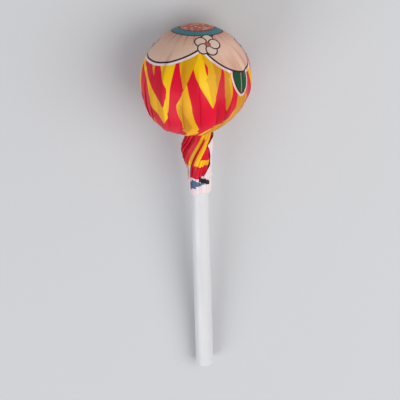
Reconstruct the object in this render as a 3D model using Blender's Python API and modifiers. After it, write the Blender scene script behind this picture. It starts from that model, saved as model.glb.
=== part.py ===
"""A ball lollipop in its twisted film wrapper, lying on its side.

Metres, +Z up. The origin is on the small flat spot that the ball rests on, under the ball's centre.
The ball's tip points along +Y, the stick runs along -Y and its free end touches the same floor.
The side that was shown to the front faces up.

Both pieces are modelled upright in the sweet's own frame, which an empty then lays down: its centre
is the ball's centre, +Z is the tip and -Y the shown side. A bearing of 0 is the shown side, and it
grows towards +X.
"""

import math

import bmesh
import bpy
from mathutils import Vector

# Driving sizes
BALL_RADIUS = 0.0120
STICK_RADIUS = 0.0020
STICK_BORE_RADIUS = 0.0011
STICK_LENGTH = 0.0750
STICK_PAST_CENTRE = 0.0015
STICK_END_ROUND = 0.0002
FLOOR_CUT = 0.00025
GAP = 0.0003

# The neck of gathered film, measured down from the ball's centre
NECK_TOP_DEPTH = 0.0145
NECK_TOP_RADIUS = 0.0029
NECK_TAPER_START = 0.0150
NECK_TAPER_END = 0.0215
NECK_LOW_RADIUS = 0.0027

# On one side the neck is thicker for a stretch, where more of the film is gathered
GATHER_BEARING = math.radians(-95)
GATHER = 0.0008
GATHER_RISE = (0.0140, 0.0168)
GATHER_FADE = (0.0185, 0.0232)

# The hem, where the film is tucked onto the stick with a wavy, flattened edge
HEM_DEPTH = 0.0279
HEM_RADIUS = 0.00258
HEM_TUCK_LENGTH = 0.0014
HEM_WAVE_LENGTH = 0.0030
HEM_WAVE = 0.00035
HEM_WAVES = 3
HEM_WAVE_PHASE = 0.8
HEM_PRESS_LENGTH = 0.0040
HEM_PRESS = 0.45

# Low on the ball the film runs straight in to the neck, like a tent at this angle to the axis
TENT_ANGLE = math.radians(62)
NECK_BLEND = 0.0010

# Above that the film is slack and bulges on one side, lies close on the other, and waves a little
# all round. This rises and fades over two stretches of depth
SLACK_BEARING = math.radians(-60)
SLACK = 0.0014
SHOULDER_LOBES = 5
SHOULDER_LOBE_DEPTH = 0.00022
SHOULDER_RISE = (0.0010, 0.0105)
SHOULDER_FADE = (0.0105, 0.0135)

# Knife pleats: each climbs slowly and drops over its folded edge to the next
PLEATS = 20
PLEAT_SHARES = (0.0, 0.31, 0.62, 0.93)
PLEAT_CREST = PLEAT_SHARES[-1]
PLEAT_FIRST_START = 0.0105
PLEAT_START_SPREAD = 0.0070
PLEAT_GROWTH = 0.0100
PLEAT_HEIGHT_BALL = 0.00034
PLEAT_HEIGHT_NECK = 0.00042
PLEAT_NECK_RISE = (0.0060, 0.0150)

# How pleats differ: the middle and spread of a value, and the step and start of the sine behind it
PLEAT_SPACING_SPREAD = 0.28
PLEAT_SPACING_SINE = (2.1, 0.5)
PLEAT_STRENGTH = 0.64
PLEAT_STRENGTH_SPREAD = 0.36
PLEAT_STRENGTH_SINE = (1.7, 1.0)
PLEAT_START_SINE = (2.9, 0.0)

# The gathered film is twisted round the stick, from the shoulder to just above the hem
TWIST = math.radians(132)
TWIST_START_DEPTH = 0.0055
TWIST_END_DEPTH = 0.0245

# How finely the solids are faceted
CAP_RINGS = 11
CAP_SWEEP = math.radians(86)
SIDE_RINGS = 13
SIDE_SWEEP = math.radians(80)
NECK_RINGS = 13
STICK_SIDES = 40
BORE_SIDES = 40

# Colours of the two finishes: red of the printed film, white of the plastic stick
FILM_COLOUR = (0.72, 0.03, 0.07, 1.0)
STICK_COLOUR = (0.84, 0.84, 0.86, 1.0)


def clear_scene():
    for old in list(bpy.data.objects):
        bpy.data.objects.remove(old, do_unlink=True)


def make_collection(name):
    collection = bpy.data.collections.new(name)
    bpy.context.scene.collection.children.link(collection)
    return collection


def plain_material(name, colour, roughness):
    material = bpy.data.materials.new(name)
    material.use_nodes = True
    shader = material.node_tree.nodes["Principled BSDF"]
    shader.inputs["Base Color"].default_value = colour
    shader.inputs["Roughness"].default_value = roughness
    shader.inputs["Metallic"].default_value = 0.0
    return material


def add_object(name, mesh, collection, parent=None, material=None):
    made = bpy.data.objects.new(name, mesh)
    collection.objects.link(made)
    made.parent = parent
    if material:
        mesh.materials.append(material)
    return made


def ease(low, high, value):
    """0 before low, 1 after high and a smooth rise between them."""
    share = min(1.0, max(0.0, (value - low) / (high - low)))
    return share * share * (3.0 - 2.0 * share)


def soft_max(a, b, width):
    """The larger of two lengths, with the crease between them rounded over a width."""
    near = max(width - abs(a - b), 0.0) / width
    return max(a, b) + near * near * width / 4.0


def resting_tilt():
    """The angle by which the sweet's axis climbs from the stick's end to the ball."""
    height = BALL_RADIUS - FLOOR_CUT
    reach = STICK_LENGTH - STICK_PAST_CENTRE - STICK_END_ROUND
    return math.asin(height / math.hypot(reach, STICK_RADIUS)) - math.atan2(STICK_RADIUS, reach)


def neck_radius(depth, bearing):
    taper = ease(NECK_TAPER_START, NECK_TAPER_END, depth)
    radius = NECK_TOP_RADIUS + (NECK_LOW_RADIUS - NECK_TOP_RADIUS) * taper
    facing = max(0.0, math.cos(bearing - GATHER_BEARING)) ** 2
    radius += GATHER * facing * ease(*GATHER_RISE, depth) * (1.0 - ease(*GATHER_FADE, depth))
    tuck = ease(HEM_DEPTH - HEM_TUCK_LENGTH, HEM_DEPTH, depth)
    return radius + (HEM_RADIUS - NECK_LOW_RADIUS) * tuck


def shoulder_slack(depth, bearing):
    """How far the slack film round the shoulder stands out or in."""
    turn = bearing - SLACK_BEARING
    slack = SLACK * math.cos(turn) + SHOULDER_LOBE_DEPTH * math.cos(SHOULDER_LOBES * turn)
    return slack * ease(*SHOULDER_RISE, depth) * (1.0 - ease(*SHOULDER_FADE, depth))


def film_radius(depth, bearing):
    """The film's radius below the ball's equator, before it is pleated."""
    leave_depth = BALL_RADIUS * math.sin(TENT_ANGLE)
    if depth < leave_depth:
        radius = math.sqrt(BALL_RADIUS**2 - depth**2)
    else:
        radius = BALL_RADIUS * math.cos(TENT_ANGLE) - (depth - leave_depth) * math.tan(TENT_ANGLE)
    return soft_max(radius + shoulder_slack(depth, bearing), neck_radius(depth, bearing), NECK_BLEND)


def stations():
    """Each ring of the film from tip to hem, as its depth, ball radius share and travel along the film."""
    found = []
    for ring in range(1, CAP_RINGS + 1):
        angle = CAP_SWEEP * ring / CAP_RINGS
        found.append((-BALL_RADIUS * math.cos(angle), math.sin(angle), BALL_RADIUS * angle))
    for ring in range(1, SIDE_RINGS + 1):
        sweep = SIDE_SWEEP * ring / SIDE_RINGS
        depth = NECK_TOP_DEPTH * math.sin(sweep) / math.sin(SIDE_SWEEP)
        found.append((depth, None, BALL_RADIUS * (math.pi / 2 + sweep)))
    last = found[-1][2]
    for ring in range(1, NECK_RINGS + 1):
        drop = (HEM_DEPTH - NECK_TOP_DEPTH) * ring / NECK_RINGS
        found.append((NECK_TOP_DEPTH + drop, None, last + drop))
    return found


def vary(pleat, sine):
    """A number from -1 to 1 that changes from pleat to pleat without repeating."""
    step, start = sine
    return math.sin(step * pleat + start)


def pleat_bearing(pleat):
    return math.tau * (pleat + PLEAT_SPACING_SPREAD * vary(pleat, PLEAT_SPACING_SINE)) / PLEATS


def pleat_height(pleat, share, depth, travel):
    """How far the film stands in or out of its mean surface, at a share of the way across a pleat."""
    start = PLEAT_FIRST_START + PLEAT_START_SPREAD * (0.5 + 0.5 * vary(pleat, PLEAT_START_SINE))
    growth = ease(start, start + PLEAT_GROWTH, travel)
    neck = ease(*PLEAT_NECK_RISE, depth)
    height = PLEAT_HEIGHT_BALL + (PLEAT_HEIGHT_NECK - PLEAT_HEIGHT_BALL) * neck
    height *= PLEAT_STRENGTH + PLEAT_STRENGTH_SPREAD * vary(pleat, PLEAT_STRENGTH_SINE)
    height *= 1.0 - HEM_PRESS * ease(HEM_DEPTH - HEM_PRESS_LENGTH, HEM_DEPTH, depth)
    return height * growth * (share / PLEAT_CREST - 0.5)


def film_ring(depth, cap_share, travel):
    """The points of one ring, four for each pleat, in order of bearing."""
    twist = -TWIST * ease(TWIST_START_DEPTH, TWIST_END_DEPTH, depth)
    near_hem = ease(HEM_DEPTH - HEM_WAVE_LENGTH, HEM_DEPTH, depth)
    points = []
    for pleat in range(PLEATS):
        start = pleat_bearing(pleat)
        end = pleat_bearing(pleat + 1)
        if pleat == PLEATS - 1:
            end = pleat_bearing(0) + math.tau
        for share in PLEAT_SHARES:
            bearing = start + (end - start) * share + twist
            if cap_share is None:
                radius = film_radius(depth, bearing)
            else:
                radius = BALL_RADIUS * cap_share
            radius += pleat_height(pleat, share, depth, travel)
            wave = HEM_WAVE * near_hem * math.sin(HEM_WAVES * bearing + HEM_WAVE_PHASE)
            points.append(Vector((radius * math.sin(bearing), -radius * math.cos(bearing), wave - depth)))
    return points


def loft(name, first, rings, last):
    """A closed skin from a first point through rings of equal count to a last point."""
    shape = bmesh.new()
    start = shape.verts.new(first)
    loops = [[shape.verts.new(point) for point in ring] for ring in rings]
    end = shape.verts.new(last)
    count = len(loops[0])
    for side in range(count):
        after = (side + 1) % count
        shape.faces.new((start, loops[0][side], loops[0][after]))
        for upper, lower in zip(loops, loops[1:]):
            shape.faces.new((upper[side], lower[side], lower[after], upper[after]))
        shape.faces.new((loops[-1][side], end, loops[-1][after]))
    bmesh.ops.triangulate(shape, faces=shape.faces[:])
    bmesh.ops.recalc_face_normals(shape, faces=shape.faces[:])
    mesh = bpy.data.meshes.new(name)
    shape.to_mesh(mesh)
    shape.free()
    return mesh


def cutter_object(name, mesh, cutters, parent=None):
    cutter = add_object(name, mesh, cutters, parent)
    cutter.hide_render = True
    cutter.display_type = "WIRE"
    return cutter


def stick_way(cutters, axis):
    """The blind hole that the stick fills, from below the hem to just past the ball's centre."""
    top = STICK_PAST_CENTRE + GAP
    bottom = -(HEM_DEPTH + 10 * GAP)
    shape = bmesh.new()
    bmesh.ops.create_cone(
        shape,
        cap_ends=True,
        segments=BORE_SIDES,
        radius1=STICK_RADIUS + GAP,
        radius2=STICK_RADIUS + GAP,
        depth=top - bottom,
    )
    mesh = bpy.data.meshes.new("stick_way")
    shape.to_mesh(mesh)
    shape.free()
    cutter = cutter_object("stick_way", mesh, cutters, axis)
    cutter.location.z = (top + bottom) / 2
    return cutter


def floor_block(cutters):
    """What lies below the floor, which takes the flat spot off the ball."""
    side = 4 * BALL_RADIUS
    shape = bmesh.new()
    bmesh.ops.create_cube(shape, size=side)
    mesh = bpy.data.meshes.new("floor_block")
    shape.to_mesh(mesh)
    shape.free()
    cutter = cutter_object("floor_block", mesh, cutters)
    cutter.location.z = -side / 2
    return cutter


def cut(piece, cutter):
    step = piece.modifiers.new("cut_" + cutter.name, "BOOLEAN")
    step.operation = "DIFFERENCE"
    step.solver = "EXACT"
    step.object = cutter


def wrapped_ball(collection, cutters, axis):
    """The ball in its film, with the gathered neck, as one solid."""
    rings = [film_ring(*station) for station in stations()]
    tip = Vector((0.0, 0.0, BALL_RADIUS))
    hem = Vector((0.0, 0.0, -HEM_DEPTH))
    mesh = loft("wrapped_ball", tip, rings, hem)
    film = plain_material("printed_film", FILM_COLOUR, 0.35)
    made = add_object("wrapped_ball", mesh, collection, axis, film)
    cut(made, stick_way(cutters, axis))
    cut(made, floor_block(cutters))
    return made


def stick(collection, axis):
    """A hollow stick, turned from a long thin profile with eased ends."""
    top = STICK_PAST_CENTRE
    bottom = top - STICK_LENGTH
    eased = STICK_END_ROUND
    outline = [
        (STICK_RADIUS - eased, top),
        (STICK_RADIUS, top - eased),
        (STICK_RADIUS, bottom + eased),
        (STICK_RADIUS - eased, bottom),
        (STICK_BORE_RADIUS + eased, bottom),
        (STICK_BORE_RADIUS, bottom + eased),
        (STICK_BORE_RADIUS, top - eased),
        (STICK_BORE_RADIUS + eased, top),
    ]
    mesh = bpy.data.meshes.new("stick")
    edges = [(point, (point + 1) % len(outline)) for point in range(len(outline))]
    mesh.from_pydata([(x, 0.0, z) for x, z in outline], edges, [])
    plastic = plain_material("stick_plastic", STICK_COLOUR, 0.4)
    made = add_object("stick", mesh, collection, axis, plastic)
    turn = made.modifiers.new("turn", "SCREW")
    turn.angle = math.tau
    turn.steps = STICK_SIDES
    turn.render_steps = STICK_SIDES
    turn.use_merge_vertices = True
    turn.merge_threshold = 0.00001
    turn.use_smooth_shade = True
    return made


def build():
    clear_scene()
    parts = make_collection("lollipop")
    cutters = make_collection("cutters")
    axis = bpy.data.objects.new("lollipop_axis", None)
    parts.objects.link(axis)
    axis.location.z = BALL_RADIUS - FLOOR_CUT
    axis.rotation_euler.x = resting_tilt() - math.pi / 2
    wrapped_ball(parts, cutters, axis)
    stick(parts, axis)


build()
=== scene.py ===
"""A ball lollipop in its twisted, printed film wrapper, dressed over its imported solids.

It is laid out as an add-on and run as a script. Metres, +Z up. The sweet lies on its side: the ball's
tip points along +Y, the stick along -Y, and the side that was shown to the front faces up.

Shapes are worked out in the sweet's own upright frame: its centre is the ball's centre, +Z is the tip
and -Y the shown side. A bearing of 0 is the shown side, and it grows towards +X. The film's print is
laid out flat, in millimetres on the sheet, with the sheet's middle at the ball's tip.
"""

import math

import bpy
import numpy as np
from bpy.props import FloatProperty, FloatVectorProperty, IntProperty, PointerProperty
from bpy.types import Operator, Panel, PropertyGroup
from mathutils import Matrix, Vector, noise


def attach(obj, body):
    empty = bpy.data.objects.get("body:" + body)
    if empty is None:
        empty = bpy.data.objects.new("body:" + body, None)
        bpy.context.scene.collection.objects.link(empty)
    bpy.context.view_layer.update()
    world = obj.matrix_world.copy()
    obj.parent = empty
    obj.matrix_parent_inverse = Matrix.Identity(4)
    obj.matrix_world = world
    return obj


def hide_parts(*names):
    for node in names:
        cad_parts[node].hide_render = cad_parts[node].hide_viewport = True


bl_info = {
    "name": "Wrapped lollipop",
    "version": (1, 0, 0),
    "blender": (4, 5, 0),
    "location": "3D View > Sidebar > Lollipop",
    "description": "Makes a ball lollipop in a twisted, printed film wrapper",
    "category": "Add Mesh",
}

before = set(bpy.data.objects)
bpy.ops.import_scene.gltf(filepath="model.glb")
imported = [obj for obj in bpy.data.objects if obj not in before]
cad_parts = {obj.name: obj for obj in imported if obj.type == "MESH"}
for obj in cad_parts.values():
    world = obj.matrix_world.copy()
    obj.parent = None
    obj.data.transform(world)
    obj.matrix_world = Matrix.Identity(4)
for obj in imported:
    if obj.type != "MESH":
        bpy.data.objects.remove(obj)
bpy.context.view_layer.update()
MM = 0.001

# The neck of gathered film, measured down from the ball's centre
NECK_TOP_DEPTH = 0.0145
NECK_TOP_RADIUS = 0.00285
NECK_TAPER = (0.0150, 0.0215)
NECK_LOW_RADIUS = 0.00242
NECK_BLEND = 0.0010

# On one side the neck is thicker for a stretch, where more of the film is gathered
GATHER_BEARING = math.radians(-95)
GATHER = 0.0009
GATHER_RISE = (0.0140, 0.0168)
GATHER_FADE = (0.0185, 0.0232)

# The hem, where the film is tucked onto the stick
HEM_DEPTH = 0.0279
HEM_RADIUS = 0.00240
HEM_TUCK_LENGTH = 0.0014
HEM_WAVE_LENGTH = 0.0030
HEM_WAVE = 0.00035
HEM_WAVES = 3
HEM_WAVE_PHASE = 0.8
HEM_PRESS_LENGTH = 0.0040
HEM_PRESS = 0.45
HEM_SHADE_LOSS = 0.8
HEM_SHADE_FADE = (0.0222, 0.0252)
HEM_ROUND_LENGTH = 0.0009
HEM_ROUND = 0.00034

# Low on the ball the film runs straight in to the neck, like a tent. Above that it is slack and
# bulges on one side, lies close on the other, and waves a little all round
TENT_ANGLE = math.radians(62)
SLACK_BEARING = math.radians(-60)
SLACK = 0.0014
SHOULDER_LOBES = 5
SHOULDER_LOBE_DEPTH = 0.00022
SHOULDER_RISE = (0.0010, 0.0105)
SHOULDER_FADE = (0.0105, 0.0135)

# Knife pleats: where along the film they start and how long they take to grow. Three numbers say how
# one differs from the next: the most it changes, and the step and start of the sine it follows
PLEAT_START = 0.0140
PLEAT_START_CHANGE = (0.0035, 2.9, 0.0)
PLEAT_GROWTH = 0.0100
PLEAT_NECK_RISE = (0.0060, 0.0150)
PLEAT_SPACING = (0.28, 2.1, 0.5)
PLEAT_STRENGTH = 0.64
PLEAT_STRENGTH_CHANGE = (0.36, 1.7, 1.0)

# Across a pleat: its climbing face, then its edge, which is folded back under itself
FACE_COLUMNS = 10
FACE_SWELL = 0.85
FLAT_CREST = 0.90
EDGE_FLAT = (0.925, 0.95, 0.97, 0.985)
EDGE_FOLDED = (1.02, 1.005, 0.985, 0.965)
EDGE_LIFT = (0.44, 0.20, -0.20, -0.45)

# The depths between which the film is twisted
TWIST_DEPTHS = (0.0055, 0.0245)

# How finely the film is meshed, from tip to equator, to the neck's top and to the hem
CAP_RINGS = 56
SIDE_RINGS = 70
SIDE_SWEEP = math.radians(80)
NECK_RINGS = 74

# The stick and its hole, with the depths of the rings inside the hole
BORE_CLEARANCE = 0.00006
STICK_PAST_CENTRE = 0.0015
STICK_SIDES = 96
STICK_END_ROUND = 0.0002
STICK_END_STEPS = 4
BORE_RINGS = (0.02, 0.01)

# Straight creases that run down the film and split it into long facets, with their changes given as
# the pleats' are, and dents in the facets
CREASE_LINES = 31
CREASE_RISE = (0.0040, 0.0150)
CREASE_SPACING = (0.36, 2.4, 1.1)
CREASE_HEIGHTS = ((0.5, 2.75, 0.3), (0.5, 1.31, 2.2))
CREASE_SLANT = (math.radians(3.4), 1.83, 0.7)
CREASE_SLANT_TRAVEL = 0.0200
CREASE_PIVOT = 0.0200
CREASE_LOSS = 0.75
# How fast a facet's painted shade grows with the slope of the way it faces
FACET_SHADE_SLOPE = 9.0
DENT_RISE = (0.0070, 0.0150)
DENTS_ROUND = 2.6
DENT_STRETCH = 210.0
DENT_OCTAVES = 2
DENT_LIMIT = 0.25

# The loose flap: its depth, and the bearings of its free side and of the side sunk in the pleats
FLAP_ROWS = (
    (0.0130, 92, 104), (0.0138, 82, 114), (0.0144, 60, 120), (0.0152, 38, 122), (0.0166, 49, 122),
    (0.0186, 57, 122), (0.0204, 58, 122), (0.0214, 41, 122), (0.0228, 22, 122), (0.0234, 24, 118),
    (0.0240, 64, 100),
)
FLAP_STEPS = 64
FLAP_COLUMNS = 25
FLAP_THICKNESS = 0.00010
FLAP_PROUD = 0.00036
FLAP_SINK = 1.6
FLAP_SINK_POWER = 8
FLAP_CURL = 0.00012
FLAP_CURL_SHARE = 0.25
FLAP_RIPPLE = 0.00006
FLAP_RIPPLE_LENGTH = 0.0041
FLAP_RIPPLE_SLANT = 2.0
FLAP_FOLD = 0.00011
FLAP_FOLDS = 5.0
FLAP_FOLD_SLANT = 0.0035

# How much of the surplus film the folds hide on the ball, where fine puckers take up the rest, and how dark
# the painted shade in the folds is there beside that of the neck
HIDDEN_ON_BALL = 0.55
SHADE_ON_BALL = 0.6
LEAST_STRETCH = 0.05

SHEET_MAP = "sheet"
SHADE = "fold_shade"
FACET_SHADE = "facet_shade"

# A printed shape is drawn in rows of its spread from the sheet's middle, in millimetres, and the
# bearings of its two sides, in degrees. A first or last row whose sides meet is a point
SPREAD_LIMIT = 60.0
POINT_REACH = 1.5
POINT_OPENING = 10.0

# The flower print: its petals and small blossoms as centres and sizes, its leaves as base, tip and
# half width, and its heart, from which the veins run
PETALS = (((-5.6, 8.4), 6.2), ((5.8, 9.2), 6.5), ((7.4, -2.2), 6.9), ((-4.2, -0.2), 7.9))
HEART = (0.5, 3.1)
VEINS = 26
LEAVES = (
    ((10.6, -5.3), (14.3, -11.8), 2.6),
    ((10.5, 9.0), (17.0, 11.5), 2.3),
    ((-8.6, 6.6), (-15.0, 9.6), 2.3),
)
BLOSSOMS = (((2.7, -5.0), 1.6), ((-10.8, 3.4), 1.5), ((11.6, 3.8), 1.6))

# The print's lines, veins, heart and ring, with lengths in millimetres
HALO_WIDTH = 0.95
PETAL_LINE = 0.42
PETAL_VEIN = 0.12
LEAF_LINE = 0.38
LEAF_VEIN = 0.16
LEAF_VEIN_STRENGTH = 0.45
HEART_RADIUS = 4.1
HEART_DOT_SCALE = 0.85
HEART_DOT_SIZE = 0.26
HEART_DOT_STRENGTH = 0.7
RING_RADIUS = 4.9
RING_HALF_WIDTH = 0.78
RING_LINE = 0.26

# How veins and blush fade out from the heart, and the pale rim grows at a petal's edge: the first
# and last distance, and the strength at each
VEIN_FADE = (6.0, 10.0, 0.5, 0.0)
BLUSH_FADE = (4.6, 9.0, 0.55, 0.0)
RIM_GROWTH = (-1.8, 0.0, 0.0, 0.35)

# A small blossom: its petals and heart as shares of its size, and the lines round them
BLOSSOM_PETALS = 5
BLOSSOM_PETAL = 0.72
BLOSSOM_HEART = 0.34
BLOSSOM_LINE = 0.30
BLOSSOM_HEART_LINE = 0.16

# Where the red and yellow inks overlap, and how softly the duller yellow starts
FRINGE_WIDTH = 0.14
DULL_SOFTNESS = 0.1

# Yellow spikes that hang from the flower print on the shown side
SHOWN_SPIKES = (
    ((14, -98, -87), (17, -97, -86), (20, -93, -86), (22.5, -87, -87)),
    ((13.4, -90, -83), (14.2, -83, -74.9), (15, -77, -68.9), (15.8, -71, -63.3), (16.6, -66, -56.4),
     (17.5, -62.5, -52.5), (18.4, -60.5, -48.1), (19.4, -59.6, -43.4), (20.8, -57, -39.4),
     (21.4, -56, -36.5), (22.2, -53.4, -36), (23, -47, -37.5), (25.4, -41.8, -41.8)),
    ((9.5, -52, -28.5), (11.6, -50.7, -28.5), (12.6, -46.6, -28.5), (15.9, -34.4, -29.4),
     (16.7, -32.7, -29.5), (17.4, -33.5, -29.5), (18.7, -36.2, -29.8), (20.1, -38, -30.3), (21, -40, -31),
     (21.6, -42, -31.4), (23.6, -43, -38), (25.4, -41.8, -41.8)),
    ((8, -6, 14), (9.2, -5, 14), (9.6, -4.4, 11.3), (10.9, -3, 11.2), (12.1, -1.5, 11.7), (13.1, 0, 12.9),
     (13.5, 0.9, 16), (15.1, 4.3, 18), (17.8, 11, 18), (20.2, 15.7, 15.7)),
)

# Spikes printed in a duller, darker yellow
DULL_SPIKES = (
    ((7.5, -23, 5.8), (10.1, -22.4, -1), (11.5, -20, -5.4), (13.3, -17.2, -9), (15.5, -13.7, -13.7)),
    ((8, 10, 33), (9.2, 10, 33), (9.6, 12.2, 33), (10.9, 16, 33), (12.1, 15.2, 31.7), (13.1, 13, 29.4),
     (13.5, 11, 28.3), (14.9, 13, 24.7), (17.1, 14, 21), (20.2, 15.7, 15.7)),
    ((12, 34.9, 42), (13, 34.7, 41.8), (16.1, 31.7, 40.5), (18, 30.2, 39.5), (21.8, 35.7, 35.7)),
    ((12, -65, -59.5), (12.9, -63.5, -58.5), (14.3, -55, -55)),
    ((18.8, -19, -19), (19.6, -21.9, -14), (21.2, -21.1, -13), (23.2, -19.2, -9), (25.4, -16, -6),
     (28, -6.5, -6.5)),
    ((16, 46, 58), (18, 46.5, 59), (20.4, 45.4, 62), (22.3, 45.4, 60), (23.2, 44.2, 57), (24.3, 43, 54),
     (24.9, 41.6, 52), (25.3, 34, 51), (26, 26, 50), (26.7, 18, 49), (27.6, 15, 49), (28.8, 15, 51),
     (30.4, 18, 58), (33, 38, 66), (34.6, 52, 58), (35.4, 56, 56)),
    ((35.9, 66, 66), (37, 63, 69), (40.5, 62, 70), (42.4, 66, 66)),
    ((23.4, 198, 198), (30, 188, 197), (50, 184, 191)),
    ((22.4, 268, 268), (30, 263, 269), (50, 259, 266)),
)
HIDDEN_SPIKES = 7
HIDDEN_SPIKES_FROM = 80.0
HIDDEN_SPIKE_STEP = 27.2

# The shift, point, base, half width and lean of a hidden spike: the mean of each, and the three
# numbers of its change from spike to spike
HIDDEN_SPIKE_SIZES = (
    (0.0, 4.0, 2.3, 0.0),
    (21.0, 2.4, 2.7, 0.4),
    (12.0, 1.2, 1.3, 0.0),
    (9.0, 2.5, 3.1, 2.0),
    (0.0, 3.0, 1.9, 1.0),
)
HIDDEN_SPIKE_WAIST = (-0.42, 0.55)

# Yellow spikes that rise from the neck
RISING_SPIKES = (
    ((14.4, -10.6, -10.6), (16, -13.8, -9), (17.9, -18, -7), (19.4, -21.8, -5.9), (20.8, -21.2, -5.7),
     (22.3, -20.2, -4.8), (23.8, -18.3, -3.7), (25.6, -18.6, -1.6), (26.6, -15, 3.5), (27.6, -8.6, 9),
     (28.9, -5, 10), (35, -7, 5), (36.5, -1, -1)),
    ((21.4, 57, 57), (22.3, 45, 61), (23.2, 43.6, 58), (24.3, 42.2, 55), (24.9, 40.4, 53), (25.3, 32, 52),
     (26, 24, 51), (26.6, 16.5, 50), (27.5, 13.8, 50), (30, 13.4, 60), (34, 46, 80), (35.5, 56, 88),
     (37.2, 57, 74), (43, 57, 74), (43.6, 65, 65)),
    ((34, 97, 97), (36.5, 90, 106), (42.6, 90, 106), (43.3, 97, 97)),
    ((41.8, 124, 124), (42.1, 92, 160), (43.2, 92, 160), (43.5, 124, 124)),
    ((24, 112, 112), (30, 108, 116), (35, 110, 114), (37, 112, 112)),
    ((21, 142, 142), (30, 138, 157), (39, 146, 158), (40, 152, 152)),
    ((23, 198, 198), (30, 186, 206), (50, 182, 200)),
    ((19, 231, 231), (27, 222, 238), (50, 220, 238)),
    ((22, 268, 268), (30, 262, 276), (50, 258, 274)),
    ((25, 306, 306), (32, 300, 314), (50, 298, 310)),
)

# Marks near the sheet's edge, and the places where its bare edge comes up higher
SLATE_MARKS = (
    ((47, 100, 100), (47.3, 84, 124), (47.6, 68, 146), (47.9, 66, 156), (48.1, 68, 150), (48.5, 72, 120),
     (49, 77, 98), (49.4, 82, 82)),
)
INK_MARKS = (
    ((45.9, 136, 136), (46.3, 130, 146), (46.9, 119, 168), (47.3, 134, 186), (47.7, 150, 192),
     (48.2, 172, 192), (48.5, 186, 186)),
)
BARE_MARKS = (
    ((43.2, 56, 56), (43.7, 32, 73), (46.4, 30, 73), (46.8, 30, 188)),
    ((45.7, 160, 160), (46.2, 128, 188), (49, 128, 188)),
    ((45, 215, 215), (45.8, 184, 250), (49, 184, 250)),
    ((45.5, 300, 300), (46.5, 285, 318)),
)
BARE_SPREAD = 48.0

# Finishes: the tints that folds, facets and patches are multiplied by and where they grow, the tints of
# folds and facets being painted shade, the roughness of low and high patches, the scales of the relief, and
# the bump's strength and height
PATCHES = (0.3, 0.7)
FOLD_SHADE_TINT = (0.42, 0.10, 0.06, 1.0)
FOLD_SHADE_STRENGTH = 0.75
FACET_SHADE_TINT = (0.80, 0.66, 0.64, 1.0)
FACET_SHADE_RANGE = (0.25, 0.80)
FACET_SHADE_CHANGE = (-0.15, 0.15)
FILM_ROUGHNESS = (0.42, 0.54)
FILM_BUMP = (0.35, 0.00012)
FILM_LINE_AND_PATCH = (2.6, 0.7)
FILM_LINES_ROUND = 6.0
FILM_LINES_ALONG = 0.22
BACK_TINT = (0.86, 0.74, 0.76, 1.0)
BACK_TINT_GROWTH = (0.3, 0.7, 0.0, 0.45)
BACK_ROUGHNESS = (0.34, 0.48)
BACK_BUMP = (0.4, 0.00008)
BACK_LINE_AND_PATCH = (1.2, 0.4)
BACK_STRETCH = (1000.0, 180.0, 1000.0)
STICK_TINT = (0.80, 0.80, 0.84, 1.0)
STICK_TINT_GROWTH = (0.3, 0.75, 0.0, 0.5)
STICK_ROUGHNESS = (0.36, 0.50)
STICK_BUMP = (0.25, 0.00004)
STICK_LINE_AND_PATCH = (1.9, 0.5)
STICK_STRETCH = (1000.0, 28.0, 1000.0)

# The stage: a floor card just under the sweet, and each light's place, size and tint
FLOOR_HALF = 1.5
FLOOR_DROP = 0.00002
FLOOR_GRAIN = 900.0
FLOOR_TINT = (0.7, 0.7, 0.7, 1.0)
FLOOR_TINT_GROWTH = (0.3, 0.7, 0.0, 0.05)
SKY_TINT = (0.97, 0.98, 1.0, 1.0)
LIGHT_AIM = (0.0, -0.02, 0.005)
KEY_LIGHT = ((0.32, -0.02, 0.42), 0.50, (1.0, 0.98, 0.95))
FILL_LIGHT = ((-0.34, -0.30, 0.30), 0.40, (0.94, 0.97, 1.0))


def srgb(*steps):
    """A colour given in 0 to 255 steps, as the linear colour that Blender's sockets take."""
    parts = [step / 255 for step in steps]
    return (*(part / 12.92 if part <= 0.04045 else ((part + 0.055) / 1.055) ** 2.4 for part in parts), 1.0)


def colour_property(name, description, *steps):
    return FloatVectorProperty(
        name=name, description=description, subtype="COLOR", size=4, min=0.0, max=1.0, default=srgb(*steps)
    )


def length_property(name, description, default, least=0.0, precision=5):
    return FloatProperty(
        name=name, description=description, default=default, min=least, precision=precision, unit="LENGTH"
    )


def angle_property(name, description, degrees):
    return FloatProperty(name=name, description=description, default=math.radians(degrees), subtype="ANGLE")


def power_property(name, description, default):
    return FloatProperty(name=name, description=description, default=default, min=0.0, unit="POWER")


class LollipopFilm(PropertyGroup):
    """Sizes of the wrapper."""

    ball_radius: length_property("Ball radius", "Radius of the sweet in its film", 0.0120, 0.005, 4)
    floor_cut: length_property("Flat spot", "How far the film flattens where the sweet lies", 0.00025)
    pleats: IntProperty(name="Pleats", description="Knife pleats round the film", default=20, min=8, max=40)
    pleat_height_ball: length_property("Pleat height on the ball", "Height of a strong pleat there", 0.00034)
    pleat_height_neck: length_property("Pleat height on the neck", "Height of a strong pleat there", 0.00042)
    twist: angle_property("Twist", "How far the film is turned round the stick, from ball to hem", 132)
    crease_height: length_property("Crease height", "Height of the straight creases in the film", 0.00030)
    dent_height: length_property("Dent height", "Depth of the soft dents in the film's panels", 0.00012)


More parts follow.
